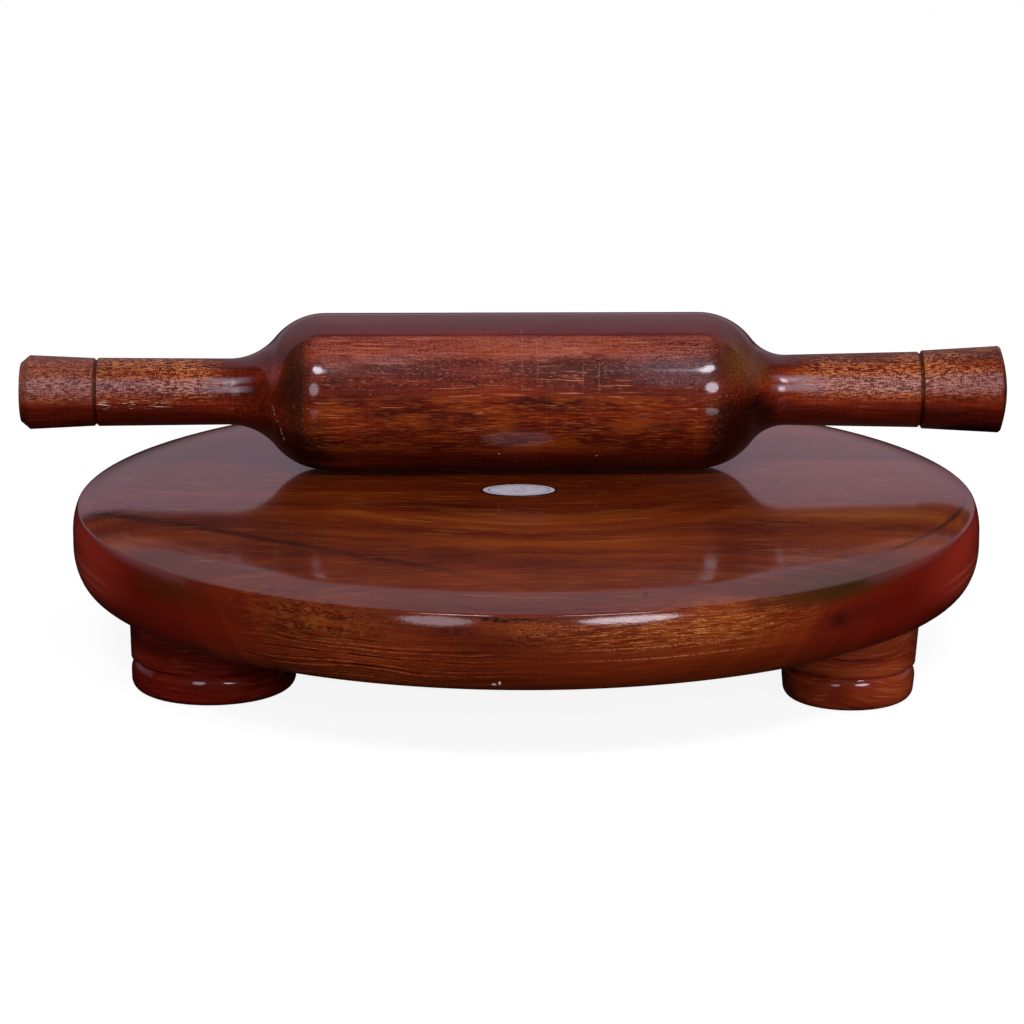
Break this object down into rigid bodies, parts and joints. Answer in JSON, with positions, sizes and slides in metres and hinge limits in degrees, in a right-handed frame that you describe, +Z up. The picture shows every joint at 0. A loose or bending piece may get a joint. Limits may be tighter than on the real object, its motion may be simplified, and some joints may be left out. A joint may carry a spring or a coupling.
{
  "type": "chakla rolling board with rolling pin",
  "caption": "Round turned hardwood rolling board on short feet, with its matching one-piece tapered-shoulder rolling pin laid across the top.",
  "frame": {"origin": "on the worktop plane that the three feet stand on, under the centre of the round board", "axes": "+Z up; the rolling pin lies along X to within 0.8 degrees, its stouter knob at +X; the user and the two front feet are towards -Y, the third foot at +Y"},
  "size_m": [0.2773, 0.25, 0.0888],
  "materials": {
    "board_wood": "glossy varnished sheesham",
    "foot_wood": "glossy varnished sheesham",
    "pin_wood": "glossy varnished sheesham",
    "screw_steel": "zinc-plated",
    "label_foil": "satin foil, blank"
  },
  "bodies": {
    "board": {"board": "board_wood", "foot_front_left": "foot_wood", "foot_front_right": "foot_wood", "foot_back": "foot_wood", "foot_screw_front_left": "screw_steel", "foot_screw_front_right": "screw_steel", "foot_screw_back": "screw_steel", "label_plate": "label_foil"},
    "pin": {"rolling_pin": "pin_wood"}
  },
  "joints": [
    {"name": "pin_lift", "type": "slide", "parent": "board", "child": "pin", "axis": [0, 0, 1], "range_m": [0, 0.12]}
  ]
}
